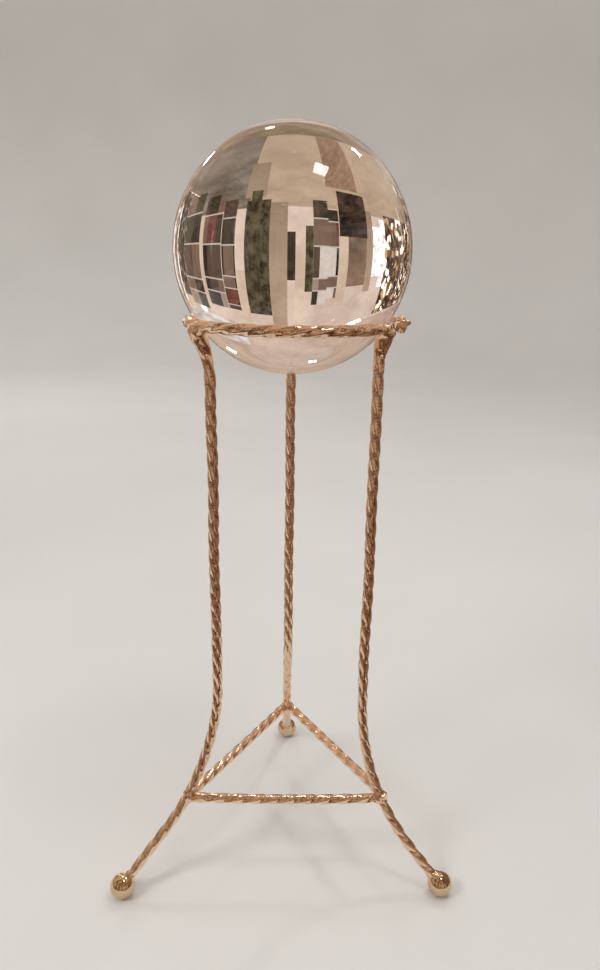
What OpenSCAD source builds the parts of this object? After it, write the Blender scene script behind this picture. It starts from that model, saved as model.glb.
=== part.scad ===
// A solid glass ball on a tall three-legged stand of twisted square rod.
// Millimetres, +Z up. The origin is on the floor, on the stand's own axis.
// One leg points back along +Y, and the other two stand at the front left and front right.

/* [Ball] */
// Diameter of the solid glass ball
ball_d = 110; // [104:1:130]
// Space left between the ball and the highest edges of the ring's rod
seat_gap = 0.25; // [0.2:0.05:0.5]

/* [Rod] */
// Side of the square rod that the whole stand is made of
rod_w = 4.3; // [3.6:0.1:4.6]
// Width of the worn flat along each of the rod's four edges
rod_edge_w = 0.7; // [0.4:0.1:1]
// Length of one full turn of twist in the legs and braces
leg_pitch = 39; // [24:1:48]
// Length of one full turn of twist in the ring, which is twisted less
ring_pitch = 43; // [30:1:60]
// Straight facets that make up one turn of twist
steps_per_turn = 12; // [8:1:16]

/* [Ring] */
// Radius of the ring, to the middle of its rod
ring_r = 49; // [48:0.5:50]
// Height of the middle of the ring's rod above the floor
ring_z = 298; // [240:1:340]
// Azimuth of the joint that closes the ring
ring_joint_azimuth = 350; // [345:1:355]

/* [Legs] */
// The legs are bent by hand, so each list gives the rear, left and right leg its own value.
// Distance from the axis to the plumb part of a leg
leg_stance = [44.7, 43, 46]; // [42:0.1:47]
// Height at which a leg starts to bend outward
bend_top_z = [110, 114, 103]; // [102:1:114]
// Slope of the lower end of a leg, from plumb
foot_slope = [46, 44, 48]; // [43:0.5:48]
// Angle by which the top of a leg leans out to reach the ring
flare_slope = 26; // [20:1:30]

/* [Feet] */
// Diameter of the ball on the end of each leg
foot_d = 13.3; // [11:0.1:15]
// Distance from the axis to the middle of the rear, left and right foot
foot_reach = [100, 101.5, 97]; // [97:0.5:103]
// Diameter of the flat that each foot rests on
foot_flat_d = 3; // [2:0.5:4]

/* [Brace] */
// Distance from the axis to where the middles of two brace rods would cross, inside a leg
brace_r = 62.8; // [60:0.2:64]
// Height of the brace above the floor
brace_z = 49.2; // [46:0.2:52]

/* [Brazing] */
// Radius of the bead at each corner of the brace
corner_bead_r = 3.9; // [3.6:0.1:4.4]
// Radius of the bead that closes the ring
ring_bead_r = 4.2; // [3.9:0.1:4.4]

/* [Hidden] */
$fn = 72;

metal = "#c98f6c";
bright_metal = "#dba585";
braze_metal = "#b9764c";
glass = [0.86, 0.9, 0.92, 0.45];

// Order of the legs in every list, and the azimuth of each
REAR = 0;
LEFT = 1;
RIGHT = 2;
leg_azimuth = [90, 210, 330];

// Gap between the two ends of the ring's rod, which its joint closes
joint_gap = 0.4;
// Gap between the end of a leg's rod and what it is butted on to, the ring or a foot
butt_gap = 0.05;
// Space kept between the ends of the brace rods and the legs
brace_clearance = 0.2;

// The rod's section: a square with its four edges worn flat
half_w = rod_w / 2;
edge_start = half_w - rod_edge_w * sin(45);
rod_r = norm([half_w, edge_start]);
section = [
    for (side = [0:3])
        for (corner = [[half_w, -edge_start], [half_w, edge_start]])
            turned(corner, 90 * side)
];

// The ball rests on the ring's high edges
ball_r = ball_d / 2;
ball_z = ring_z + sqrt(pow(ball_r + seat_gap + rod_r, 2) - pow(ring_r, 2));

// A foot is a ball cut flat where it stands and where its rod is butted on to it
foot_r = foot_d / 2;
foot_z = sqrt(pow(foot_r, 2) - pow(foot_flat_d / 2, 2));
rod_seat = sqrt(pow(foot_r, 2) - pow(rod_r, 2));

// Each leg, from its foot up: straight, bent upright, plumb, then leaning out under the ring
leg_top_z = ring_z - rod_r - butt_gap - half_w * sin(flare_slope);
function arc_length(radius, angle) = radius * angle * PI / 180;
function flare_r(leg) = (ring_r - leg_stance[leg]) / (1 - cos(flare_slope));
function bend_r(leg) =
    let (drop = bend_top_z[leg] - foot_z, spread = foot_reach[leg] - leg_stance[leg])
        (drop * tan(foot_slope[leg]) - spread) / (1 / cos(foot_slope[leg]) - 1);
function bend_spread(leg, slope) = bend_r(leg) * (1 - cos(slope));
function lower_length(leg) =
    (foot_reach[leg] - leg_stance[leg] - bend_spread(leg, foot_slope[leg])) / sin(foot_slope[leg])
        - rod_seat - butt_gap;
function plumb_length(leg) = leg_top_z - flare_r(leg) * sin(flare_slope) - bend_top_z[leg];
function leg_start(leg) =
    [foot_reach[leg], foot_z] + (rod_seat + butt_gap) * heading(-foot_slope[leg]);
function leg_stretches(leg) = [
    [lower_length(leg), 0],
    [arc_length(bend_r(leg), foot_slope[leg]), foot_slope[leg]],
    [plumb_length(leg), 0],
    [arc_length(flare_r(leg), flare_slope), flare_slope]
];

// How far from the axis the brace rods end, just short of a leg's inner side
function slope_at_brace(leg) = asin((bend_top_z[leg] - brace_z) / bend_r(leg));
function brace_end_r(leg) =
    let (slope = slope_at_brace(leg))
        leg_stance[leg] + bend_spread(leg, slope) - (rod_r + brace_clearance) / cos(slope)
            - half_w * tan(slope);
brace_length = 2 * brace_r * sin(60);

// A point or section turned about its origin
function turned(p, angle) = [p.x * cos(angle) - p.y * sin(angle), p.x * sin(angle) + p.y * cos(angle)];

// A unit step in the upright plane of a leg, [outward, up], leaning out from plumb by an angle
function heading(lean) = [sin(lean), cos(lean)];
function upright(p) = [p.x, 0, p.y];

// The step made along one stretch of bent rod, from a lean, turning steadily over its length
function step_along(lean, run, turning) =
    turning == 0
        ? run * heading(lean)
        : (run / (turning * PI / 180))
            * [cos(lean) - cos(lean + turning), sin(lean + turning) - sin(lean)];

// Position and lean of a bent rod after travelling a distance along its stretches, [length, turning]
function travel(at, lean, stretches, distance, i = 0) =
    let (run = min(distance, stretches[i][0]), turning = stretches[i][1] * run / stretches[i][0])
    let (end = at + step_along(lean, run, turning))
    distance <= stretches[i][0] || i == len(stretches) - 1
        ? [end, lean + turning]
        : travel(end, lean + turning, stretches, distance - run, i + 1);

function total(stretches, i = 0) = i == len(stretches) ? 0 : stretches[i][0] + total(stretches, i + 1);

// Twisted rod swept through stations, each [point, direction, distance travelled].
// side is square to the plane that the rod bends in. The twist is left-handed.
module twisted_rod(stations, side, pitch) {
    sides = len(section);
    last = len(stations) - 1;
    points = [
        for (station = stations)
            let (across = cross(side, station[1]), twist = -360 * station[2] / pitch)
                for (corner = section)
                    let (offset = turned(corner, twist))
                        station[0] + offset.x * across + offset.y * side
    ];
    walls = [
        for (ring = [0:last - 1])
            for (k = [0:sides - 1])
                let (a = ring * sides + k, b = ring * sides + (k + 1) % sides)
                    for (face = [[a, a + sides, b], [b, a + sides, b + sides]])
                        face
    ];
    start_cap = [for (k = [0:sides - 1]) k];
    end_cap = [for (k = [sides - 1:-1:0]) last * sides + k];
    polyhedron(points, concat([start_cap], walls, [end_cap]), convexity = 10);
}

module crystal_ball() {
    color(glass)
        translate([0, 0, ball_z])
            sphere(ball_r);
}

// The ring is one length of rod bent round, with a small gap where its two ends meet
module seat_ring() {
    gap_angle = joint_gap / (2 * PI * ring_r) * 360;
    span = 360 - gap_angle;
    around = arc_length(ring_r, span);
    steps = ceil(around / ring_pitch * steps_per_turn);
    stations = [
        for (i = [0:steps])
            let (azimuth = ring_joint_azimuth + gap_angle / 2 + span * i / steps)
                [
                    [ring_r * cos(azimuth), ring_r * sin(azimuth), ring_z],
                    [-sin(azimuth), cos(azimuth), 0],
                    around * i / steps
                ]
    ];
    color(metal)
        twisted_rod(stations, [0, 0, 1], ring_pitch);
}

// A bead on the outer side of the joint, with the tip of the rod standing out of it
module ring_joint() {
    bead_out = 2.4;
    bead_rise = 0.5;
    tip_r = 1.2;
    tip_length = 4.6;
    tip_yaw = 35;
    tip_rise = 12;
    color(braze_metal)
        rotate([0, 0, ring_joint_azimuth])
            translate([ring_r + bead_out, 0, ring_z + bead_rise]) {
                sphere(ring_bead_r);
                rotate([0, 90 - tip_rise, tip_yaw])
                    cylinder(h = tip_length, r1 = tip_r * 1.3, r2 = tip_r);
            }
}

module leg_rod(leg) {
    stretches = leg_stretches(leg);
    length = total(stretches);
    steps = ceil(length / leg_pitch * steps_per_turn);
    stations = [
        for (i = [0:steps])
            let (distance = length * i / steps)
                let (place = travel(leg_start(leg), -foot_slope[leg], stretches, distance))
                    [upright(place[0]), upright(heading(place[1])), distance]
    ];
    color(metal)
        rotate([0, 0, leg_azimuth[leg]])
            twisted_rod(stations, [0, 1, 0], leg_pitch);
}

// One side of the triangle, from one leg to the next one round. Its ends are cut to face the legs,
// and where it comes close to its neighbours it is mitred.
module brace(from, to) {
    mitre_gap = 0.1;
    steps = ceil(brace_length / leg_pitch * steps_per_turn);
    stations = [
        for (i = [0:steps])
            let (distance = brace_length * i / steps)
                [[brace_r * cos(60), distance - brace_length / 2, brace_z], [0, 1, 0], distance]
    ];
    from_r = brace_end_r(from);
    to_r = brace_end_r(to);
    share = [
        [0, 0],
        from_r * turned([1, 0], -60),
        [from_r + to_r, (to_r - from_r) / sqrt(3)],
        to_r * turned([1, 0], 60)
    ];
    color(metal)
        rotate([0, 0, leg_azimuth[from] + 60])
            intersection() {
                twisted_rod(stations, [0, 0, 1], leg_pitch);
                translate([mitre_gap, 0, brace_z - rod_w])
                    linear_extrude(2 * rod_w)
                        polygon(share);
            }
}

module foot(leg) {
    color(bright_metal)
        rotate([0, 0, leg_azimuth[leg]])
            translate([foot_reach[leg], 0, foot_z])
                difference() {
                    sphere(foot_r);
                    translate([-foot_r, -foot_r, -foot_z - foot_r])
                        cube([foot_d, foot_d, foot_r]);
                    rotate([0, -foot_slope[leg], 0])
                        translate([-foot_r, -foot_r, rod_seat])
                            cube([foot_d, foot_d, foot_r]);
                }
}

// A long flare of brazing metal round the top of a leg, up to the underside of the ring.
// Each cone follows the leg's curve: its two ends along the leg from the top, then its two radii.
module ring_braze(leg) {
    cones = [[-16, -6, 2.85, 3.25], [-8, 1.8, 3.4, 4.2]];
    stretches = leg_stretches(leg);
    length = total(stretches);
    color(braze_metal)
        rotate([0, 0, leg_azimuth[leg]])
            for (cone = cones) {
                middle = length + (cone[0] + cone[1]) / 2;
                place = travel(leg_start(leg), -foot_slope[leg], stretches, middle);
                translate(upright(place[0]))
                    rotate([0, place[1], 0])
                        cylinder(h = cone[1] - cone[0], r1 = cone[2], r2 = cone[3], center = true);
            }
}

module corner_braze(leg) {
    color(braze_metal)
        rotate([0, 0, leg_azimuth[leg]])
            translate([brace_end_r(leg), 0, brace_z])
                sphere(corner_bead_r);
}

// A tapered collar round the rod, standing on the flat of the foot
module foot_braze(leg) {
    collar_h = 1.8;
    collar_r = 3.7;
    sink = 0.5;
    color(braze_metal)
        rotate([0, 0, leg_azimuth[leg]])
            translate([foot_reach[leg], 0, foot_z])
                rotate([0, -foot_slope[leg], 0])
                    translate([0, 0, rod_seat - sink])
                        cylinder(h = collar_h, r1 = collar_r, r2 = rod_r + 0.1);
}

crystal_ball();
seat_ring();
ring_joint();
leg_rod(REAR);  // rear_leg
leg_rod(LEFT);  // left_leg
leg_rod(RIGHT);  // right_leg
brace(LEFT, RIGHT);  // front_brace
brace(REAR, LEFT);  // rear_left_brace
brace(RIGHT, REAR);  // rear_right_brace
foot(REAR);  // rear_foot
foot(LEFT);  // left_foot
foot(RIGHT);  // right_foot
ring_braze(REAR);  // rear_ring_braze
ring_braze(LEFT);  // left_ring_braze
ring_braze(RIGHT);  // right_ring_braze
corner_braze(REAR);  // rear_corner_braze
corner_braze(LEFT);  // left_corner_braze
corner_braze(RIGHT);  // right_corner_braze
foot_braze(REAR);  // rear_foot_braze
foot_braze(LEFT);  // left_foot_braze
foot_braze(RIGHT);  // right_foot_braze
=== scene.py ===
"""The looks of a crystal ball on a tripod stand of twisted square rod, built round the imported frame."""

import math

import bpy
import numpy as np
import openvdb
from mathutils import Matrix, Vector


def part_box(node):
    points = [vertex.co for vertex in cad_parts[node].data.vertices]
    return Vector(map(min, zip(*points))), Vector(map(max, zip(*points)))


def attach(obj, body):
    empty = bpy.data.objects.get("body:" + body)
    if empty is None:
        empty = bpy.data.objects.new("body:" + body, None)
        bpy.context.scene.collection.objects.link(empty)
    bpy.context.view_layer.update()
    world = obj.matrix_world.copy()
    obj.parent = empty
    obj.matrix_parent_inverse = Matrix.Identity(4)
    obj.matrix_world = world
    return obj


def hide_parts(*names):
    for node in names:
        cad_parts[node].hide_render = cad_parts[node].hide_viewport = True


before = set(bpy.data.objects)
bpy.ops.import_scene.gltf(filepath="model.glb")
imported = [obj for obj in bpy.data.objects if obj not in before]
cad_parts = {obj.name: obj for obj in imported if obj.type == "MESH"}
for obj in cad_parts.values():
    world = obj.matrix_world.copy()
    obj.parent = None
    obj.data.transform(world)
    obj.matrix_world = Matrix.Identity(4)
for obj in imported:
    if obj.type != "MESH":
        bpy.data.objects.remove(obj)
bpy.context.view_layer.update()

MM = 0.001
UP = np.array([0.0, 0.0, 1.0])

# ---------------------------------------------------------------------------------------------
# Sizes: the boxes of the frame's nodes give the places, and these give what a box can't say
# ---------------------------------------------------------------------------------------------
ROD_FACE = 2.3 * MM             # from the rod's middle to the middle of a face
ROD_HOLLOW = 0.05 * MM          # how far the middle of each of the rod's faces is drawn in
LEG_PITCH = 39 * MM             # length of a full turn of twist
RING_PITCH = 43 * MM
RING_R = 49 * MM                # radius of the ring, to the middle of its rod
STATION = 0.6 * MM              # spacing of the sections that a rod is swept through

# Azimuth, distance of the plumb part from the axis, height where the bend starts, slope of the end
LEGS = {
    "rear": dict(azimuth=90, stance=44.7 * MM, bend_top=110 * MM, slope=46),
    "left": dict(azimuth=210, stance=43 * MM, bend_top=114 * MM, slope=44),
    "right": dict(azimuth=330, stance=46 * MM, bend_top=103 * MM, slope=48),
}
# Each brace rod, with the legs that it starts and ends at
BRACES = {
    "front_brace": ("left", "right"),
    "rear_left_brace": ("rear", "left"),
    "rear_right_brace": ("right", "rear"),
}
FLARE_SLOPE = 26                # degrees that the top of a leg leans out by, to reach the ring
BRACE_R = 62.8 * MM             # where the middles of two brace rods would cross
FRONT_SAG = 1.2 * MM
REAR_SAG = 0.3 * MM
RING_JOINT_AZIMUTH = 350

# Brazing: how far it reaches, how widely it blends what it joins, and the skin that it lays over it
FLARE = dict(reach=8 * MM, blend=3.2 * MM, skin=0.14 * MM, length=2.0)
FLARE_SWELL = 1.35 * MM         # how much a leg grows at the ring, over the length of FLARE_RUN
FLARE_RUN = 16 * MM
BEAD = dict(reach=7.5 * MM, blend=1.8 * MM, skin=0.12 * MM)
COLLAR = dict(reach=4.6 * MM, blend=1.7 * MM, skin=0.08 * MM)
LUMP = dict(reach=8 * MM, blend=0.8 * MM, skin=0.05 * MM, rough=0.2 * MM)
BRAZE_MARGIN = 1.2 * MM         # how far past its reach a piece of brazing may still run
BRAZE_SINK = 0.4 * MM           # how deep it lies under the rods there
VOXEL = 0.26 * MM               # size of the cells that the brazing is meshed from


def node_span(node):
    """Lowest and highest corner of a CAD node, as arrays."""
    low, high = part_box(node)
    return np.array(low), np.array(high)


ring_low, ring_high = node_span("seat_ring")
ROD_REACH = (ring_high[2] - ring_low[2]) / 2
RING_Z = (ring_high[2] + ring_low[2]) / 2
ROD_ROUND = (ROD_FACE * math.sqrt(2) - ROD_REACH) / (math.sqrt(2) - 1)
ball_low, ball_high = node_span("crystal_ball")
BALL_R = (ball_high[2] - ball_low[2]) / 2
BALL_CENTRE = (ball_low + ball_high) / 2
BRACE_Z = float(sum(node_span("front_brace"))[2] / 2)


def unit(v):
    """Vectors of length one."""
    return v / np.linalg.norm(v, axis=-1, keepdims=True)


def outward(azimuth):
    """The level direction away from the axis, at an azimuth in degrees from +X."""
    a = math.radians(azimuth)
    return np.array([math.cos(a), math.sin(a), 0.0])


def smoothstep(low, high, x):
    """Rises from 0 at low to 1 at high, with a soft start and end."""
    t = np.clip((x - low) / (high - low), 0, 1)
    return t * t * (3 - 2 * t)


def wander(s, seed, size, wavelength):
    """A slow hand-made wander along a length, the sum of three seeded waves, at most about size."""
    rng = np.random.default_rng(seed)
    total = np.zeros(len(s))
    for _ in range(3):
        wave = wavelength * rng.uniform(0.6, 1.7)
        total += np.sin(2 * np.pi * s / wave + rng.uniform(0, 2 * np.pi))
    return size * total / 2


# ---------------------------------------------------------------------------------------------
# Twisted rod: a centreline with a frame and a twist at every station
# ---------------------------------------------------------------------------------------------
class Rod:
    """A twisted square rod along a centreline. side is square to the plane that it bends in."""

    def __init__(self, points, side, pitch, seed, closed=False, phase=0.0):
        self.points = points
        self.closed = closed
        ahead = np.roll(points, -1, 0) - np.roll(points, 1, 0) if closed else np.gradient(points, axis=0)
        self.along = unit(ahead)
        self.across = unit(np.cross(np.broadcast_to(side, points.shape), self.along))
        self.side = np.cross(self.along, self.across)
        steps = np.linalg.norm(np.diff(points, axis=0), axis=1)
        self.distance = np.concatenate([[0], np.cumsum(steps)])
        self.twist = phase - 2 * np.pi * self.distance / pitch + wander(self.distance, seed, 0.14, 70 * MM)
        self.scale = 1 + wander(self.distance, seed + 1, 0.012, 25 * MM)

    def local(self, at):
        """For points (n, 3): the nearest station, and the place across and along from it."""
        near = np.empty(len(at), int)
        for start in range(0, len(at), 40000):
            part = at[start:start + 40000]
            gap = (part ** 2).sum(1)[:, None] - 2 * part @ self.points.T + (self.points ** 2).sum(1)[None]
            near[start:start + 40000] = gap.argmin(1)
        offset = at - self.points[near]
        return near, *[(offset * axis[near]).sum(1) for axis in (self.across, self.side, self.along)]

    def field(self, at):
        """Distance from the rod's surface to points (n, 3), negative inside."""
        near, u, v, w = self.local(at)
        turn = self.twist[near]
        a = u * np.cos(turn) + v * np.sin(turn)
        b = -u * np.sin(turn) + v * np.cos(turn)
        half = ROD_FACE * self.scale[near] - ROD_ROUND
        du, dv = np.abs(a) - half, np.abs(b) - half
        flat = np.hypot(np.maximum(du, 0), np.maximum(dv, 0)) + np.minimum(np.maximum(du, dv), 0) - ROD_ROUND
        past = np.maximum(np.abs(w) - STATION, 0)
        return np.where(flat > 0, np.hypot(np.maximum(flat, 0), past), np.maximum(flat, past))

    def near(self, centre, radius):
        """The stretch of this rod within a distance of a point."""
        keep = np.linalg.norm(self.points - centre, axis=1) < radius
        part = object.__new__(Rod)
        for key in ("points", "along", "across", "side", "twist", "scale"):
            setattr(part, key, getattr(self, key)[keep])
        return part


def rod_section():
    """The rod's outline: a square with rounded edges and faces drawn in a little."""
    flat = ROD_FACE - ROD_ROUND
    quarter = []
    for angle in np.radians([0, 18, 36, 54, 72, 90]):
        quarter.append((flat + ROD_ROUND * math.cos(angle), flat + ROD_ROUND * math.sin(angle)))
    for t in (0.6, 0.2, -0.2, -0.6):
        quarter.append((flat * t, ROD_FACE - ROD_HOLLOW * (1 - t * t)))
    sides = []
    for angle in np.radians([0, 90, 180, 270]):
        turn = np.array([[math.cos(angle), -math.sin(angle)], [math.sin(angle), math.cos(angle)]])
        sides.append(np.array(quarter) @ turn.T)
    return np.concatenate(sides)


def mesh_object(name, points, faces):
    """A smooth-shaded mesh object, linked into the scene."""
    mesh = bpy.data.meshes.new(name)
    mesh.from_pydata([tuple(p) for p in points], [], [tuple(f) for f in faces])
    mesh.validate()
    mesh.shade_smooth()
    made = bpy.data.objects.new(name, mesh)
    bpy.context.scene.collection.objects.link(made)
    return made


def rod_mesh(name, rod, shape=None):
    """The swept rod as a mesh. shape may move its points, given the (stations, section, 3) grid.
    Each point keeps its place in the straight bar that the rod was twisted from."""
    section = rod_section()
    turn = rod.twist[:, None]
    a = (section[:, 0] * np.cos(turn) - section[:, 1] * np.sin(turn)) * rod.scale[:, None]
    b = (section[:, 0] * np.sin(turn) + section[:, 1] * np.cos(turn)) * rod.scale[:, None]
    grid = rod.points[:, None] + a[..., None] * rod.across[:, None] + b[..., None] * rod.side[:, None]
    if shape:
        grid = shape(grid)
    rows, sides = grid.shape[:2]
    links = rows if rod.closed else rows - 1
    faces = []
    for i in range(links):
        low, high = i * sides, (i + 1) % rows * sides
        faces += [(low + k, low + (k + 1) % sides, high + (k + 1) % sides, high + k) for k in range(sides)]
    if not rod.closed:
        faces += [tuple(range(sides))[::-1], tuple(range((rows - 1) * sides, rows * sides))]
    made = mesh_object(name, grid.reshape(-1, 3), faces)
    straight = np.empty((rows, sides, 3), np.float32)
    straight[..., :2] = section
    straight[..., 2] = rod.distance[:, None]
    made.data.attributes.new(BAR_PLACE, "FLOAT_VECTOR", "POINT").data.foreach_set("vector", straight.ravel())
    return made


# ---------------------------------------------------------------------------------------------
# Centrelines
# ---------------------------------------------------------------------------------------------
def leg_rod(name, seed):
    """Straight from the foot, bent upright, plumb, then leaning out under the ring."""
    leg = LEGS[name]
    out = outward(leg["azimuth"])
    low, high = node_span(f"{name}_foot")
    foot_r = (high[0] - low[0]) / 2
    foot = np.array([float(((low + high) / 2) @ out), high[2] - foot_r])
    top_z = node_span(f"{name}_leg")[1][2]
    slope, flare = math.radians(leg["slope"]), math.radians(FLARE_SLOPE)
    spread, drop = foot[0] - leg["stance"], leg["bend_top"] - foot[1]
    bend_r = (drop * math.tan(slope) - spread) / (1 / math.cos(slope) - 1)
    flare_r = (RING_R - leg["stance"]) / (1 - math.cos(flare))
    seat = math.sqrt(foot_r ** 2 - ROD_REACH ** 2)
    lower = (spread - bend_r * (1 - math.cos(slope))) / math.sin(slope) - seat
    plumb = top_z - flare_r * math.sin(flare) - leg["bend_top"]
    ends = np.cumsum([0, lower, bend_r * slope, plumb, flare_r * flare])
    s = np.linspace(0, ends[-1], int(ends[-1] / STATION) + 1)
    lean = np.interp(s, ends, [-slope, -slope, 0, 0, flare])
    middle = (lean[1:] + lean[:-1]) / 2
    r = foot[0] - seat * math.sin(slope) + np.concatenate([[0], np.cumsum(np.sin(middle) * s[1])])
    z = foot[1] + seat * math.cos(slope) + np.concatenate([[0], np.cumsum(np.cos(middle) * s[1])])
    hold = smoothstep(0, 30 * MM, s) * smoothstep(0, 30 * MM, s[-1] - s)
    r += hold * wander(s, seed + 5, 0.25 * MM, 110 * MM)
    side = np.cross(UP, out)
    sway = hold * wander(s, seed + 6, 0.25 * MM, 120 * MM)
    points = r[:, None] * out + z[:, None] * UP + sway[:, None] * side
    return Rod(points, side, LEG_PITCH, seed)


def ring_rod(seed):
    """One closed round of rod. Its two ends are under the joint."""
    count = int(2 * np.pi * RING_R / STATION)
    azimuth = np.radians(RING_JOINT_AZIMUTH) + np.linspace(0, 2 * np.pi, count, endpoint=False)
    points = np.stack([RING_R * np.cos(azimuth), RING_R * np.sin(azimuth), np.full(count, RING_Z)], 1)
    return Rod(points, UP, RING_PITCH, seed, closed=True)


def brace_rod(start, end, seed, sag=0.0):
    """A straight rod, leg to leg, that sags by a little."""
    a, b = (BRACE_R * outward(LEGS[leg]["azimuth"]) + BRACE_Z * UP for leg in (start, end))
    t = np.linspace(0, 1, int(np.linalg.norm(b - a) / STATION) + 1)
    points = a + t[:, None] * (b - a)
    points[:, 2] -= sag * (1 - (2 * t - 1) ** 2)
    return Rod(points, UP, LEG_PITCH, seed)


# ---------------------------------------------------------------------------------------------
# Brazing metal: a level set that runs the rods into each other, meshed with OpenVDB
# ---------------------------------------------------------------------------------------------
def melt(first, second, blend):
    """Smooth union of two distance fields."""
    h = np.clip(0.5 + 0.5 * (second - first) / blend, 0, 1)
    return second * (1 - h) + first * h - blend * h * (1 - h)


def ripple(at, seed, size, wavelength):
    """Seeded uneven swelling in space."""
    rng = np.random.default_rng(seed)
    total = np.zeros(len(at))
    for _ in range(9):
        wave = unit(rng.normal(size=3)) * 2 * np.pi / (wavelength * rng.uniform(0.6, 1.6))
        total += np.sin(at @ wave + rng.uniform(0, 2 * np.pi))
    return size * total / 3


def braze_mesh(name, centre, solids, seed, reach, blend, skin, rough=0.09 * MM, axis=None, length=1.0):
    """Metal run over solids, which are distance fields: it covers them by skin near the centre and
    sinks under them at reach. Along an axis, the reach is length times as far."""
    edge = reach * length + BRAZE_MARGIN
    count = int(2 * edge / VOXEL) + 3
    steps = (np.arange(count) - count // 2) * VOXEL
    at = np.stack(np.meshgrid(steps, steps, steps, indexing="ij"), -1).reshape(-1, 3) + centre
    far = np.linalg.norm(at - centre, axis=1)
    if axis is not None:
        run = (at - centre) @ axis
        far = np.sqrt(np.maximum(far ** 2 - run ** 2, 0) + (run / length) ** 2)
    body = None
    for solid in solids:
        part = solid(at)
        body = part if body is None else melt(body, part, blend)
    uneven = ripple(at, seed, rough, 3.2 * MM) + ripple(at, seed + 1, rough * 0.4, 1.4 * MM)
    fade = smoothstep(0.55 * reach, reach, far + ripple(at, seed + 2, 1.0 * MM, 5 * MM))
    body = body + uneven * (1 - fade) - skin * (1 - fade) + BRAZE_SINK * fade
    body = np.maximum(body, far - reach - BRAZE_MARGIN)
    grid = openvdb.FloatGrid()
    grid.copyFromArray(body.reshape(count, count, count).astype(np.float64) / VOXEL)
    points, triangles, quads = grid.convertToPolygons(isovalue=0.0, adaptivity=0.0)
    points = (points - count // 2) * VOXEL + centre
    faces = [tuple(q)[::-1] for q in quads] + [tuple(t)[::-1] for t in triangles]
    return mesh_object(name, points, faces)


def swollen(field, place, size, reach):
    """A distance field whose solid grows by size towards a place, from reach away."""
    def grown(at):
        far = np.linalg.norm(at - place, axis=1)
        return field(at) - size * (1 - smoothstep(0.1 * reach, reach, far))
    return grown


def round_field(centre, radius):
    """The distance field of a ball."""
    def distance(at):
        return np.linalg.norm(at - centre, axis=1) - radius
    return distance


# ---------------------------------------------------------------------------------------------
# Round shapes: the foot balls, the glass ball, the floor
# ---------------------------------------------------------------------------------------------
def turned(name, profile, sides, centre=(0, 0, 0)):
    """A profile of (radius, height), first and last on the axis, turned round Z."""
    cx, cy, cz = centre
    points, rows = [], []
    for radius, height in profile:
        if radius < 1e-9:
            rows.append([len(points)])
            points.append((cx, cy, cz + height))
            continue
        rows.append([len(points) + k for k in range(sides)])
        for k in range(sides):
            angle = 2 * math.pi * k / sides
            points.append((cx + radius * math.cos(angle), cy + radius * math.sin(angle), cz + height))
    faces = []
    for low, high in zip(rows, rows[1:]):
        for k in range(sides):
            corners = [(low, k), (low, k + 1), (high, k + 1), (high, k)]
            face = [row[at % len(row)] for row, at in corners]
            faces.append(list(dict.fromkeys(face)))
    return mesh_object(name, points, faces)


def foot_ball(name, side):
    """A polished ball with a small flat to stand on, its edge eased."""
    low, high = node_span(f"{side}_foot")
    radius = (high[0] - low[0]) / 2
    centre = np.append((low[:2] + high[:2]) / 2, high[2] - radius)
    stand = centre[2] - low[2]
    flat = math.sqrt(radius ** 2 - stand ** 2)
    ease = 0.35 * MM
    edge = math.asin((flat + ease) / radius)
    sweep = np.linspace(edge, math.pi, 56)
    profile = [(0, -stand), (flat * 0.6, -stand), (flat - ease, -stand)]
    profile += [(flat + 0.1 * MM, -stand + 0.06 * MM)]
    profile += [(radius * math.sin(a), -radius * math.cos(a)) for a in sweep[:-1]] + [(0, radius)]
    return turned(name, profile, 96, centre), centre, radius


def glass_ball(name):
    """A sphere of even faces: a subdivided cube, blown up to the ball's radius."""
    count = 88
    t = np.tan(np.linspace(-1, 1, count + 1) * math.pi / 4)
    u, v = np.meshgrid(t, t, indexing="ij")
    sides = []
    for axis in range(3):
        for sign in (1, -1):
            grid = np.zeros((count + 1, count + 1, 3))
            grid[..., axis] = sign
            grid[..., (axis + 1) % 3] = u * sign
            grid[..., (axis + 2) % 3] = v
            sides.append(grid)
    grid = np.array(sides)
    points = BALL_CENTRE + BALL_R * unit(grid).reshape(-1, 3)
    index = np.arange(len(points)).reshape(6, count + 1, count + 1)
    a, b, c, d = index[:, :-1, :-1], index[:, 1:, :-1], index[:, 1:, 1:], index[:, :-1, 1:]
    made = mesh_object(name, points, np.stack([a, b, c, d], -1).reshape(-1, 4))
    weld = made.modifiers.new("weld", "WELD")
    weld.merge_threshold = 0.01 * MM
    apply_modifiers(made)
    made.data.shade_smooth()
    return made


def apply_modifiers(made):
    """Replaces an object's mesh by what its modifiers make of it."""
    evaluated = made.evaluated_get(bpy.context.evaluated_depsgraph_get())
    mesh = bpy.data.meshes.new_from_object(evaluated)
    made.modifiers.clear()
    made.data = mesh


# ---------------------------------------------------------------------------------------------
# Materials
# ---------------------------------------------------------------------------------------------
BAR_PLACE = "bar_place"


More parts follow.
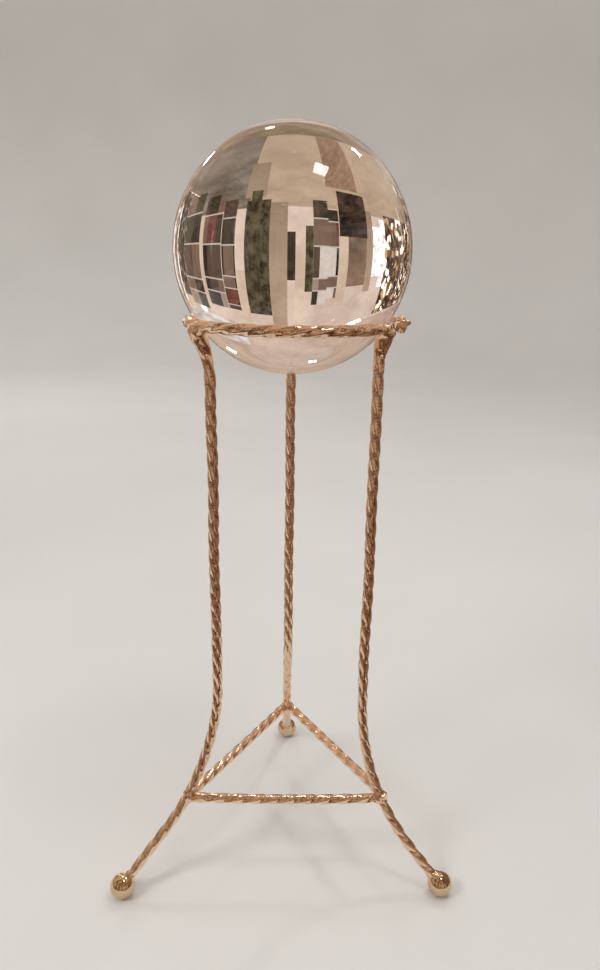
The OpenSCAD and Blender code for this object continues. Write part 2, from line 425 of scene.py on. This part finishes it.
class Shader:
    """A Principled material and a few short ways to wire its nodes."""

    def __init__(self, name):
        self.material = bpy.data.materials.new(name)
        self.material.use_nodes = True
        self.tree = self.material.node_tree
        self.bsdf = self.tree.nodes["Principled BSDF"]

    def node(self, kind, links=(), **values):
        """A node with properties set to values, and inputs linked or set by links."""
        made = self.tree.nodes.new(kind)
        for key, value in values.items():
            setattr(made, key, value)
        for socket, source in dict(links).items():
            if isinstance(source, bpy.types.NodeSocket):
                self.tree.links.new(source, made.inputs[socket])
            else:
                made.inputs[socket].default_value = source
        return made

    def set(self, **values):
        """Sets or links Principled sockets, named with _ for each space."""
        for key, value in values.items():
            socket = self.bsdf.inputs[key.replace("_", " ")]
            if isinstance(value, bpy.types.NodeSocket):
                self.tree.links.new(value, socket)
            else:
                socket.default_value = value

    def place(self, scale=(1, 1, 1)):
        """Places in the object's own space, scaled."""
        place = self.node("ShaderNodeTexCoord").outputs["Object"]
        return self.node("ShaderNodeMapping", {"Vector": place, "Scale": scale}).outputs[0]

    def bar_place(self, scale):
        """Places in the straight bar that a rod was twisted from, so that marks run with the twist."""
        place = self.node("ShaderNodeAttribute", attribute_name=BAR_PLACE).outputs["Vector"]
        return self.node("ShaderNodeMapping", {"Vector": place, "Scale": scale}).outputs[0]

    def noise(self, size, detail=3, rough=0.5, at=None):
        """Noise whose features are about size metres across, from 0 to 1."""
        return self.node(
            "ShaderNodeTexNoise",
            {"Vector": at or self.place(), "Scale": 1 / size, "Detail": detail, "Roughness": rough},
        ).outputs["Fac"]

    def spread(self, fac, low, high, start=0.3, stop=0.7):
        """Maps fac from start..stop to low..high, and holds it there."""
        return self.node(
            "ShaderNodeMapRange",
            {"Value": fac, "From Min": start, "From Max": stop, "To Min": low, "To Max": high},
        ).outputs["Result"]

    def blend(self, fac, first, second):
        """A mix of two colours."""
        made = self.node("ShaderNodeMix", data_type="RGBA")
        self.tree.links.new(fac, made.inputs["Factor"])
        for socket, value in (("A", first), ("B", second)):
            target = [s for s in made.inputs if s.name == socket and s.type == "RGBA"][0]
            if isinstance(value, bpy.types.NodeSocket):
                self.tree.links.new(value, target)
            else:
                target.default_value = (*value, 1)
        return [s for s in made.outputs if s.type == "RGBA"][0]

    def ramp(self, fac, stops):
        """Steps of flat colour, each from its place on."""
        made = self.node("ShaderNodeValToRGB", {"Fac": fac})
        made.color_ramp.interpolation = "CONSTANT"
        elements = made.color_ramp.elements
        for number, (place, colour) in enumerate(stops):
            stop = elements[number] if number < 2 else elements.new(place)
            stop.position = place
            stop.color = (*colour, 1)
        return made.outputs["Color"]

    def shine(self, colour, strength=1.0):
        """Makes the surface give off a colour and nothing else."""
        emission = self.node("ShaderNodeEmission", {"Color": colour, "Strength": strength})
        self.tree.links.new(emission.outputs[0], self.tree.nodes["Material Output"].inputs["Surface"])

    def bump(self, height, depth, under=None):
        """A normal from a height of a depth in metres, over the normal under it."""
        links = {"Height": height, "Strength": 1.0, "Distance": depth}
        if under:
            links["Normal"] = under
        return self.node("ShaderNodeBump", links).outputs["Normal"]


def plated_metal(name, warm, pale, rough, dimple, edge_wear=True, drawn=0.0):
    """Rose-gold plate over steel: uneven tone, soft waviness, fine scratches, brighter worn edges.
    drawn is the depth of the marks that run along a drawn bar."""
    s = Shader(name)
    tone = s.spread(s.noise(9 * MM, 4), 0, 1, 0.35, 0.65)
    colour = s.blend(tone, warm, pale)
    stain = s.spread(s.noise(2.2 * MM, 5, 0.6), 0, 0.3, 0.58, 0.75)
    colour = s.blend(stain, colour, tuple(0.62 * c for c in warm))
    gloss = s.spread(s.noise(1.3 * MM, 4, 0.6), rough * 0.6, rough * 1.5)
    if edge_wear:
        geometry = s.node("ShaderNodeNewGeometry")
        edge = s.spread(geometry.outputs["Pointiness"], 0, 1, 0.51, 0.56)
        colour = s.blend(edge, colour, tuple(min(1, c * 1.08) for c in pale))
    waves = s.bump(s.noise(2.6 * MM, 2), dimple)
    grain = s.bump(s.noise(0.8 * MM, 3, 0.65), dimple * 0.6, waves)
    if drawn:
        grain = s.bump(s.noise(1.3 * MM, 2, 0.5, s.bar_place((1, 1, 0.25))), drawn, grain)
    grit = s.bump(s.noise(0.35 * MM, 3, 0.6), 0.006 * MM, grain)
    s.set(Base_Color=colour, Metallic=1.0, Roughness=gloss, Normal=grit)
    return s.material


def clear_glass(name):
    """Clear optical glass, with faint handling smears that only just soften its gloss."""
    s = Shader(name)
    smear = s.noise(14 * MM, 5, 0.65, s.place((1, 1, 0.45)))
    s.set(
        Base_Color=(0.985, 0.98, 0.97, 1),
        Transmission_Weight=1.0,
        IOR=1.52,
        Roughness=s.spread(smear, 0.0, 0.012, 0.52, 0.8),
    )
    return s.material


def floor_paint(name):
    """Matt pale paint with a faint change of tone and a fine grain. It has no gloss at all, or it
    would mirror the cards that lie on it."""
    s = Shader(name)
    tone = s.blend(s.spread(s.noise(0.35, 3), 0, 1), (0.76, 0.735, 0.71), (0.80, 0.775, 0.75))
    s.set(Base_Color=tone, Roughness=s.spread(s.noise(0.05, 4), 0.5, 0.62), Specular_IOR_Level=0.0)
    s.set(Normal=s.bump(s.noise(0.8 * MM, 3), 0.02 * MM))
    return s.material


def glow(name, colour, second, size, strength=1.0, stretch=(1, 1, 1), floor_shade=1.0,
         edge=(0.38, 0.62)):
    """A card of two colours in patches, whose edges are soft by edge. It may darken towards the floor:
    painted shade, like that on a room's walls near its floor.
    """
    s = Shader(name)
    s.tree.nodes.remove(s.bsdf)
    patches = s.spread(s.noise(size, 4, 0.6, s.place(stretch)), 0, 1, *edge)
    tone = s.blend(patches, colour, second)
    # painted shade: near the floor the tone falls towards a dimmer mean of its two colours
    if floor_shade < 1:
        height = s.node("ShaderNodeSeparateXYZ", {"Vector": s.place()}).outputs["Z"]
        low = s.spread(height, 1, 0, 0.0, 0.6)
        tone = s.blend(low, tone, tuple(floor_shade * (a + b) / 2 for a, b in zip(colour, second)))
    s.shine(tone, strength)
    return s.material


def panes(name):
    """Upright panes of uneven size and tone, with thin pale bars between their rows."""
    per_metre_across, per_metre_up = 16.0, 7.0
    s = Shader(name)
    s.tree.nodes.remove(s.bsdf)
    place = s.node("ShaderNodeSeparateXYZ", {"Vector": s.place((1, 0.8, 1))})
    across = s.node("ShaderNodeMath", {0: place.outputs["X"], 1: place.outputs["Y"]}, operation="ADD")
    across = {"W": across.outputs[0], "Scale": per_metre_across}
    up = {"W": place.outputs["Z"], "Scale": per_metre_up}
    columns = s.node("ShaderNodeTexVoronoi", across, voronoi_dimensions="1D").outputs["Color"]
    rows = s.node("ShaderNodeTexVoronoi", up, voronoi_dimensions="1D").outputs["Color"]
    gaps = s.node("ShaderNodeTexVoronoi", up, voronoi_dimensions="1D", feature="DISTANCE_TO_EDGE")
    pick = s.node("ShaderNodeVectorMath", {0: columns, 1: rows}, operation="ADD").outputs[0]
    level = s.node("ShaderNodeTexWhiteNoise", {"Vector": pick}).outputs["Value"]
    colour = s.ramp(level, [
        (0, (0.014, 0.009, 0.007)),
        (0.32, (0.08, 0.048, 0.034)),
        (0.5, (0.035, 0.03, 0.016)),
        (0.64, (0.19, 0.115, 0.08)),
        (0.84, (0.15, 0.035, 0.025)),
        (0.88, (0.36, 0.27, 0.21)),
        (0.95, (0.72, 0.62, 0.54)),
    ])
    worn = s.blend(s.spread(s.noise(0.03, 3), 0, 0.12, 0.4, 0.65), colour, (0.02, 0.012, 0.008))
    bars = s.spread(gaps.outputs["Distance"], 1, 0, 0.026, 0.036)
    s.shine(s.blend(bars, worn, (0.56, 0.48, 0.43)))
    return s.material


def glint_foil(name):
    """A glowing card of small flat facets, each with its own set brightness: painted glints and painted
    shade on the facets of crumpled gold, which is lit by nothing and mirrors nothing.
    """
    s = Shader(name)
    s.tree.nodes.remove(s.bsdf)
    cells = s.node("ShaderNodeTexVoronoi", {"Vector": s.place((1, 1, 0.8)), "Scale": 24.0}).outputs["Color"]
    level = s.node("ShaderNodeSeparateColor", {"Color": cells}).outputs["Red"]
    # painted glints and painted shade: the brightest facets glow above white, and the darkest stand for
    # shaded folds
    s.shine(s.ramp(level, [
        (0, (0.05, 0.028, 0.018)),
        (0.30, (0.22, 0.12, 0.06)),
        (0.52, (0.66, 0.40, 0.22)),
        (0.68, (0.10, 0.06, 0.035)),
        (0.84, (1.8, 1.5, 1.25)),
    ]))
    return s.material


# ---------------------------------------------------------------------------------------------
# The pieces
# ---------------------------------------------------------------------------------------------
ROSE = (0.80, 0.555, 0.37)
ROSE_PALE = (0.90, 0.69, 0.51)
BRAZE_WARM = (0.80, 0.53, 0.335)
GOLD = (0.69, 0.49, 0.305)
GOLD_PALE = (0.78, 0.61, 0.41)

MATERIALS = {
    "plated_rod": plated_metal("plated_rod", ROSE, ROSE_PALE, 0.075, 0.05 * MM, drawn=0.16 * MM),
    "plated_ball": plated_metal("plated_ball", GOLD, GOLD_PALE, 0.05, 0.02 * MM, edge_wear=False),
    "plated_braze": plated_metal("plated_braze", BRAZE_WARM, ROSE_PALE, 0.11, 0.06 * MM),
    "clear_glass": clear_glass("clear_glass"),
}


def fit_piece(piece, node, slot, body="stand"):
    """Gives a piece its material and slot, rides it on its body and hides the CAD node that it stands for.
    """
    piece.data.materials.clear()
    piece.data.materials.append(MATERIALS[slot])
    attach(piece, body)
    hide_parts(node)
    return piece


def mitred(rod_ends):
    """Keeps a brace rod's points on its own side of each leg's plane, and clear of the leg's middle.
    Each end is a leg, the side of its plane, 1 or -1, and the furthest reach from the axis."""
    def shape(grid):
        for leg, inward, end_r in rod_ends:
            out = outward(LEGS[leg]["azimuth"])
            side = np.cross(UP, out) * inward
            past = np.minimum(grid @ side - 0.05 * MM, 0)
            grid = grid - past[..., None] * side
            over = np.maximum(grid @ out - end_r, 0)
            grid = grid - over[..., None] * out
        return grid
    return shape


ring = ring_rod(seed=3)
fit_piece(rod_mesh("ring_of_twisted_rod", ring), "seat_ring", "plated_rod")

legs = {}
for number, side in enumerate(LEGS):
    legs[side] = leg_rod(side, seed=10 * (number + 1))
    fit_piece(rod_mesh(f"{side}_leg_rod", legs[side]), f"{side}_leg", "plated_rod")

# How far out from the axis the brace rods reach towards each leg
BRACE_END_PAST_BEAD = 1.5 * MM
brace_end = {}
for side, leg in LEGS.items():
    low, high = node_span(f"{side}_corner_braze")
    brace_end[side] = float((low + high) / 2 @ outward(leg["azimuth"])) + BRACE_END_PAST_BEAD

braces = {}
for number, (node, (start, end)) in enumerate(BRACES.items()):
    sag = FRONT_SAG if node == "front_brace" else REAR_SAG
    braces[node] = brace_rod(start, end, seed=50 + 10 * number, sag=sag)
    shape = mitred([(start, 1, brace_end[start]), (end, -1, brace_end[end])])
    fit_piece(rod_mesh(f"{node}_rod", braces[node], shape), node, "plated_rod")

feet = {}
for side in LEGS:
    ball, centre, radius = foot_ball(f"{side}_foot_ball", side)
    feet[side] = (centre, radius)
    fit_piece(ball, f"{side}_foot", "plated_ball")

for number, side in enumerate(LEGS):
    out = outward(LEGS[side]["azimuth"])
    leg = legs[side]

    top = leg.points[-1] + 0.5 * MM * UP
    flared = swollen(leg.near(top, 24 * MM).field, top, FLARE_SWELL, FLARE_RUN)
    solids = [flared, ring.near(top, 14 * MM).field]
    lean = leg.along[-12]
    piece = braze_mesh(f"{side}_ring_flare", top, solids, seed=100 + number, axis=lean, **FLARE)
    fit_piece(piece, f"{side}_ring_braze", "plated_braze")

    corner = (brace_end[side] - 0.6 * MM) * out + BRACE_Z * UP
    meeting = [rod.near(corner, 16 * MM).field for node, rod in braces.items() if side in BRACES[node]]
    solids = [leg.near(corner, 16 * MM).field, *meeting]
    piece = braze_mesh(f"{side}_corner_bead", corner, solids, seed=200 + number, **BEAD)
    fit_piece(piece, f"{side}_corner_braze", "plated_braze")

    neck = leg.points[0]
    solids = [leg.near(neck, 14 * MM).field, round_field(*feet[side])]
    piece = braze_mesh(f"{side}_foot_collar", neck, solids, seed=300 + number, **COLLAR)
    fit_piece(piece, f"{side}_foot_braze", "plated_braze")


def ring_joint():
    """The lump that closes the ring: a bead, the rod's end curled over it and its tip standing out."""
    out = outward(RING_JOINT_AZIMUTH)
    along = np.cross(UP, out)
    centre = (RING_R + 2.2 * MM) * out + (RING_Z + 0.3 * MM) * UP
    tip = centre + 5.0 * MM * unit(out + 0.62 * along + 0.22 * UP)
    curl_middle = centre + 1.5 * MM * out - 0.5 * MM * UP

    def bead_field(at):
        return np.linalg.norm((at - centre) / np.array([1, 1, 1.06]), axis=1) - 3.35 * MM

    def tip_field(at):
        t = np.clip(((at - centre) @ (tip - centre)) / ((tip - centre) @ (tip - centre)), 0, 1)
        return np.linalg.norm(at - centre - t[:, None] * (tip - centre), axis=1) - (2.0 - 1.0 * t) * MM

    def curl_field(at):
        offset = at - curl_middle
        flat = np.stack([offset @ along, offset @ UP], 1)
        ring_gap = np.hypot(np.linalg.norm(flat, axis=1) - 2.6 * MM, offset @ out)
        return ring_gap - 1.05 * MM

    solids = [ring.near(centre, 18 * MM).field, bead_field, tip_field, curl_field]
    return braze_mesh("ring_joint_lump", centre, solids, seed=400, **LUMP)


fit_piece(ring_joint(), "ring_joint", "plated_braze")
fit_piece(glass_ball("glass_ball"), "crystal_ball", "clear_glass", body="ball")


# ---------------------------------------------------------------------------------------------
# Studio: a pale round sweep, soft lights, and cards that only glass and metal see
# ---------------------------------------------------------------------------------------------
FLOOR_R = 2.0                   # in metres, like all of the studio's sizes
WALL_R = 2.9
WALL_TOP = 3.2
CEILING_Z = 1.0


def sweep_floor():
    """A flat floor that curves up into a round wall, so that no edge shows from any side."""
    bend = [(FLOOR_R + (WALL_R - FLOOR_R) * math.sin(a), (WALL_R - FLOOR_R) * (1 - math.cos(a)))
            for a in np.linspace(0, math.pi / 2, 16)]
    profile = [(0, 0), (0.3, 0), (0.8, 0), (1.4, 0)] + bend + [(WALL_R, WALL_TOP)]
    made = turned("studio_floor", profile, 96)
    made.data.materials.append(floor_paint("floor_paint"))


def unseen(made, material):
    """Cards show only in glass and metal: no camera ray, no soft bounce and no shadow meets them."""
    made.data.materials.append(material)
    made.visible_camera = False
    made.visible_diffuse = False
    made.visible_shadow = False


def compass(radius, azimuth, z):
    """A point at an azimuth measured clockwise from the back, as seen from above."""
    a = math.radians(azimuth)
    return (radius * math.sin(a), radius * math.cos(a), z)


def strip_card(name, start, stop, low, high, material):
    """A curved card between two azimuths. low and high are its edges, as (radius, height)."""
    count = max(2, int(abs(stop - start) / 3))
    angles = np.linspace(start, stop, count + 1)
    points = [compass(radius, angle, z) for angle in angles for radius, z in (low, high)]
    faces = [(2 * i, 2 * i + 2, 2 * i + 3, 2 * i + 1) for i in range(count)]
    unseen(mesh_object(name, points, faces), material)


# Each glowing tone: its two colours, the size of its patches in metres, and what differs from plain. The
# tones glow and are lit by nothing: painted reflections of the lit and shaded surroundings that glass and
# metal mirror.
TONES = {
    "umber": glow("card_umber", (0.32, 0.20, 0.135), (0.13, 0.08, 0.052), 0.3),
    "dark": glow("card_dark", (0.045, 0.027, 0.018), (0.006, 0.004, 0.003), 0.08),
    "olive": glow("card_olive", (0.11, 0.088, 0.045), (0.020, 0.013, 0.008), 0.035, stretch=(1, 1, 0.7)),
    "beige": glow("card_beige", (0.52, 0.37, 0.26), (0.40, 0.28, 0.195), 0.3, floor_shade=0.7),
    "cream": glow("card_cream", (0.84, 0.66, 0.50), (0.64, 0.47, 0.35), 0.2, floor_shade=0.85),
    # painted glints: the white card glows brighter than white and stands for small bright lights, which
    # glass and metal mirror
    "white": glow("card_white", (0.95, 1.0, 1.12), (0.34, 0.22, 0.16), 0.05, 2.4),
    "bounce": glow("card_bounce", (0.80, 0.80, 0.80), (0.66, 0.64, 0.62), 0.1),
    "wall": glow("card_wall", (0.80, 0.62, 0.51), (0.64, 0.48, 0.39), 0.3),
    "ceiling": glow("card_ceiling", (0.68, 0.50, 0.40), (0.54, 0.385, 0.30), 0.4),
    "haze": glow("card_haze", (0.88, 0.84, 0.82), (0.52, 0.43, 0.38), 0.16),
    "shade": glow("card_shade", (0.72, 0.52, 0.37), (0.10, 0.055, 0.034), 0.22, edge=(0.41, 0.50)),
    "ground": glow("card_ground", (0.57, 0.41, 0.29), (0.45, 0.32, 0.22), 0.4),
    "wood": glow("card_wood", (0.36, 0.22, 0.14), (0.25, 0.145, 0.09), 0.05, stretch=(3, 0.6, 1)),
    "ground_dim": glow("card_ground_dim", (0.27, 0.215, 0.17), (0.12, 0.095, 0.07), 0.3),
    "ground_edge": glow("card_ground_edge", (0.29, 0.205, 0.105), (0.15, 0.105, 0.065), 0.09),
    "ground_dark": glow(
        "card_ground_dark", (0.85, 0.57, 0.42), (0.08, 0.038, 0.023), 0.16, edge=(0.40, 0.45),
    ),
    "ground_far": glow(
        "card_ground_far", (0.82, 0.55, 0.41), (0.09, 0.042, 0.026), 0.35, edge=(0.40, 0.51),
    ),
    "panes": panes("card_panes"),
    "glint_foil": glint_foil("card_foil"),
}
FIRST_CARD = -62                # azimuth where the round of upright cards starts
# Width in degrees, tone, radius, and the heights of the two edges. The first rows stand behind the
# object, from its left side to its right, and the second ones go on round the front, twice.
BACK_CARDS = [
    (30, "glint_foil", 1.5, 0.0, 0.90), (3, "white", 1.5, 0.05, 0.60), (4, "white", 1.5, 0.12, 0.50),
    (3, "beige", 1.5, 0.0, 0.62), (7, "umber", 1.5, 0.0, 0.56), (3, "cream", 1.5, 0.0, 0.70),
    (3, "panes", 1.5, 0.04, 0.64), (4, "panes", 1.4, 0.0, 0.66), (2, "olive", 1.5, 0.16, 0.58),
    (2.5, "cream", 1.5, 0.28, 0.92), (2, "dark", 1.5, 0.2, 0.5), (4.5, "beige", 1.5, 0.0, 0.92),
    (7, "olive", 1.4, 0.0, 0.76), (3, "cream", 1.5, 0.45, 0.95), (5, "panes", 1.3, 0.0, 0.72),
    (9, "panes", 1.1, 0.0, 0.66), (2, "cream", 1.2, 0.1, 0.80), (14, "panes", 0.95, 0.0, 0.66),
    (10, "dark", 0.9, 0.0, 0.6), (2, "white", 1.0, 0.0, 0.7),
]
SIDE_CARDS = [
    (14, "beige", 1.5, 0.0, 0.9), (3, "cream", 1.5, 0.0, 0.9), (16, "panes", 1.5, 0.0, 0.8),
    (5, "dark", 1.5, 0.0, 0.85), (8, "cream", 1.5, 0.05, 0.7), (14, "olive", 1.5, 0.0, 0.7),
    (20, "beige", 1.5, 0.0, 0.9), (2, "white", 1.5, 0.3, 0.7), (12, "umber", 1.5, 0.0, 0.8),
    (8, "cream", 1.5, 0.0, 0.95), (18, "beige", 1.5, 0.0, 0.85),
]
# Azimuths of the two ends, tone, and the two edges as (radius, height)
FLAT_CARDS = [
    (-180, 180, "wall", (1.65, 0), (1.65, CEILING_Z)),
    # painted shade: the dark band on the floor behind the stand stands for the shaded edge of a table, for
    # glass and metal to mirror
    (-60, 60, "ground_edge", (0.20, 0.001), (0.38, 0.001)),
    (-60, 12, "ground", (0.38, 0.001), (1.65, 0.001)),
    (12, 60, "ground_dim", (0.38, 0.001), (1.65, 0.001)),
    (60, 235, "ground_dark", (0.20, 0.001), (0.75, 0.001)),
    # painted shade: this dark card on the floor just in front of the stand stands for shade near its foot,
    # for the front brace to mirror
    (156, 204, "ground_dark", (0.105, 0.001), (0.20, 0.001)),
    (60, 235, "ground_far", (0.75, 0.001), (1.65, 0.001)),
    (-103, -60, "bounce", (0.20, 0.001), (0.75, 0.001)),
    (-125, -103, "ground_dark", (0.20, 0.001), (0.75, 0.001)),
    (-125, -60, "ground_far", (0.75, 0.001), (1.65, 0.001)),
    (-85, 85, "ceiling", (0.02, CEILING_Z), (1.65, CEILING_Z)),
    (85, 275, "shade", (0.02, CEILING_Z), (1.65, CEILING_Z)),
    (-20, -9, "wood", (0.38, 0.002), (1.05, 0.002)),
    (-22, -12, "dark", (1.05, 0.02), (1.20, 0.24)),
    (7, 13, "beige", (0.66, 0.02), (0.72, 0.16)),
    (8, 11, "olive", (0.70, 0.14), (0.80, 0.5)),
    (55, 125, "umber", (0.16, 0.02), (0.16, 0.20)),
    (18, 60, "haze", (1.0, 0.995), (1.65, 0.995)),
    (36, 41, "white", (1.5, 0.80), (1.5, 0.93)),
]


# Ceiling panels: place, size and power. Each faces straight down.
PANEL_Z = 0.97
PANELS = [
    ("panel_front", (0.22, -0.16), (0.12, 0.14), 0.7),
    ("panel_left", (-0.62, 1.42), (0.17, 0.10), 2.0),
    ("panel_right", (0.42, 0.49), (0.09, 0.07), 1.0),
    ("panel_back", (-0.13, 0.62), (0.05, 0.05), 0.4),
]


def stand_cards():
    """Stands the round of upright cards and lays the flat ones."""
    angle = FIRST_CARD
    for number, (width, tone, radius, low, high) in enumerate(BACK_CARDS + SIDE_CARDS + SIDE_CARDS):
        strip_card(f"card_{number}", angle, angle + width, (radius, low), (radius, high), TONES[tone])
        angle += width
    for number, (start, stop, tone, low, high) in enumerate(FLAT_CARDS):
        strip_card(f"card_flat_{number}", start, stop, low, high, TONES[tone])


def soft_light(name, place, size, power, aim=(0, 0, 0.2)):
    """A rectangular area light. The camera doesn't see it, but glass and metal do."""
    data = bpy.data.lights.new(name, "AREA")
    data.shape = "RECTANGLE"
    data.size, data.size_y = size
    data.energy = power
    made = bpy.data.objects.new(name, data)
    made.location = place
    made.rotation_euler = (Vector(aim) - Vector(place)).to_track_quat("-Z", "Y").to_euler()
    made.visible_camera = False
    bpy.context.scene.collection.objects.link(made)
    return made


def light_studio():
    """A soft key that isn't mirrored, small panels that are, and even air."""
    key = soft_light("key_softbox", (-0.75, -0.55, 0.96), (0.30, 0.30), 4)
    key.visible_glossy = False
    key.visible_transmission = False
    for name, (x, y), size, power in PANELS:
        panel = soft_light(name, (x, y, PANEL_Z), size, power, aim=(x, y, 0))
        panel.visible_transmission = name != "panel_front"
    world = bpy.data.worlds.new("studio_air")
    world.use_nodes = True
    background = world.node_tree.nodes["Background"]
    background.inputs["Color"].default_value = (1.0, 0.985, 0.96, 1)
    background.inputs["Strength"].default_value = 0.8
    bpy.context.scene.world = world


# ---------------------------------------------------------------------------------------------
# Camera: a phone's wide view, level with the ball and tipped down
# ---------------------------------------------------------------------------------------------
CAMERA_PLACE = (-1.2 * MM, -384.8 * MM, 328.9 * MM)
CAMERA_YAW = 1.0                # degrees, as are the next two
CAMERA_DOWN = 19.71
CAMERA_ROLL = 0.94
CAMERA_LENS = 29.03             # millimetres, for a sensor 36 mm long
CAMERA_SHIFT = 0.05


def set_camera():
    """Stands the camera at the view that the object is drawn for."""
    data = bpy.data.cameras.new("camera")
    data.lens = CAMERA_LENS
    data.sensor_width = 36
    data.shift_y = CAMERA_SHIFT
    data.clip_start, data.clip_end = 0.01, 20
    made = bpy.data.objects.new("camera", data)
    turn = Matrix.Rotation(math.radians(-CAMERA_YAW), 4, "Z")
    tip = Matrix.Rotation(math.radians(90 - CAMERA_DOWN), 4, "X")
    roll = Matrix.Rotation(math.radians(CAMERA_ROLL), 4, "Z")
    made.matrix_world = Matrix.Translation(CAMERA_PLACE) @ turn @ tip @ roll
    bpy.context.scene.collection.objects.link(made)
    bpy.context.scene.camera = made


sweep_floor()
stand_cards()
light_studio()
set_camera()
bpy.context.scene.view_settings.view_transform = "Standard"
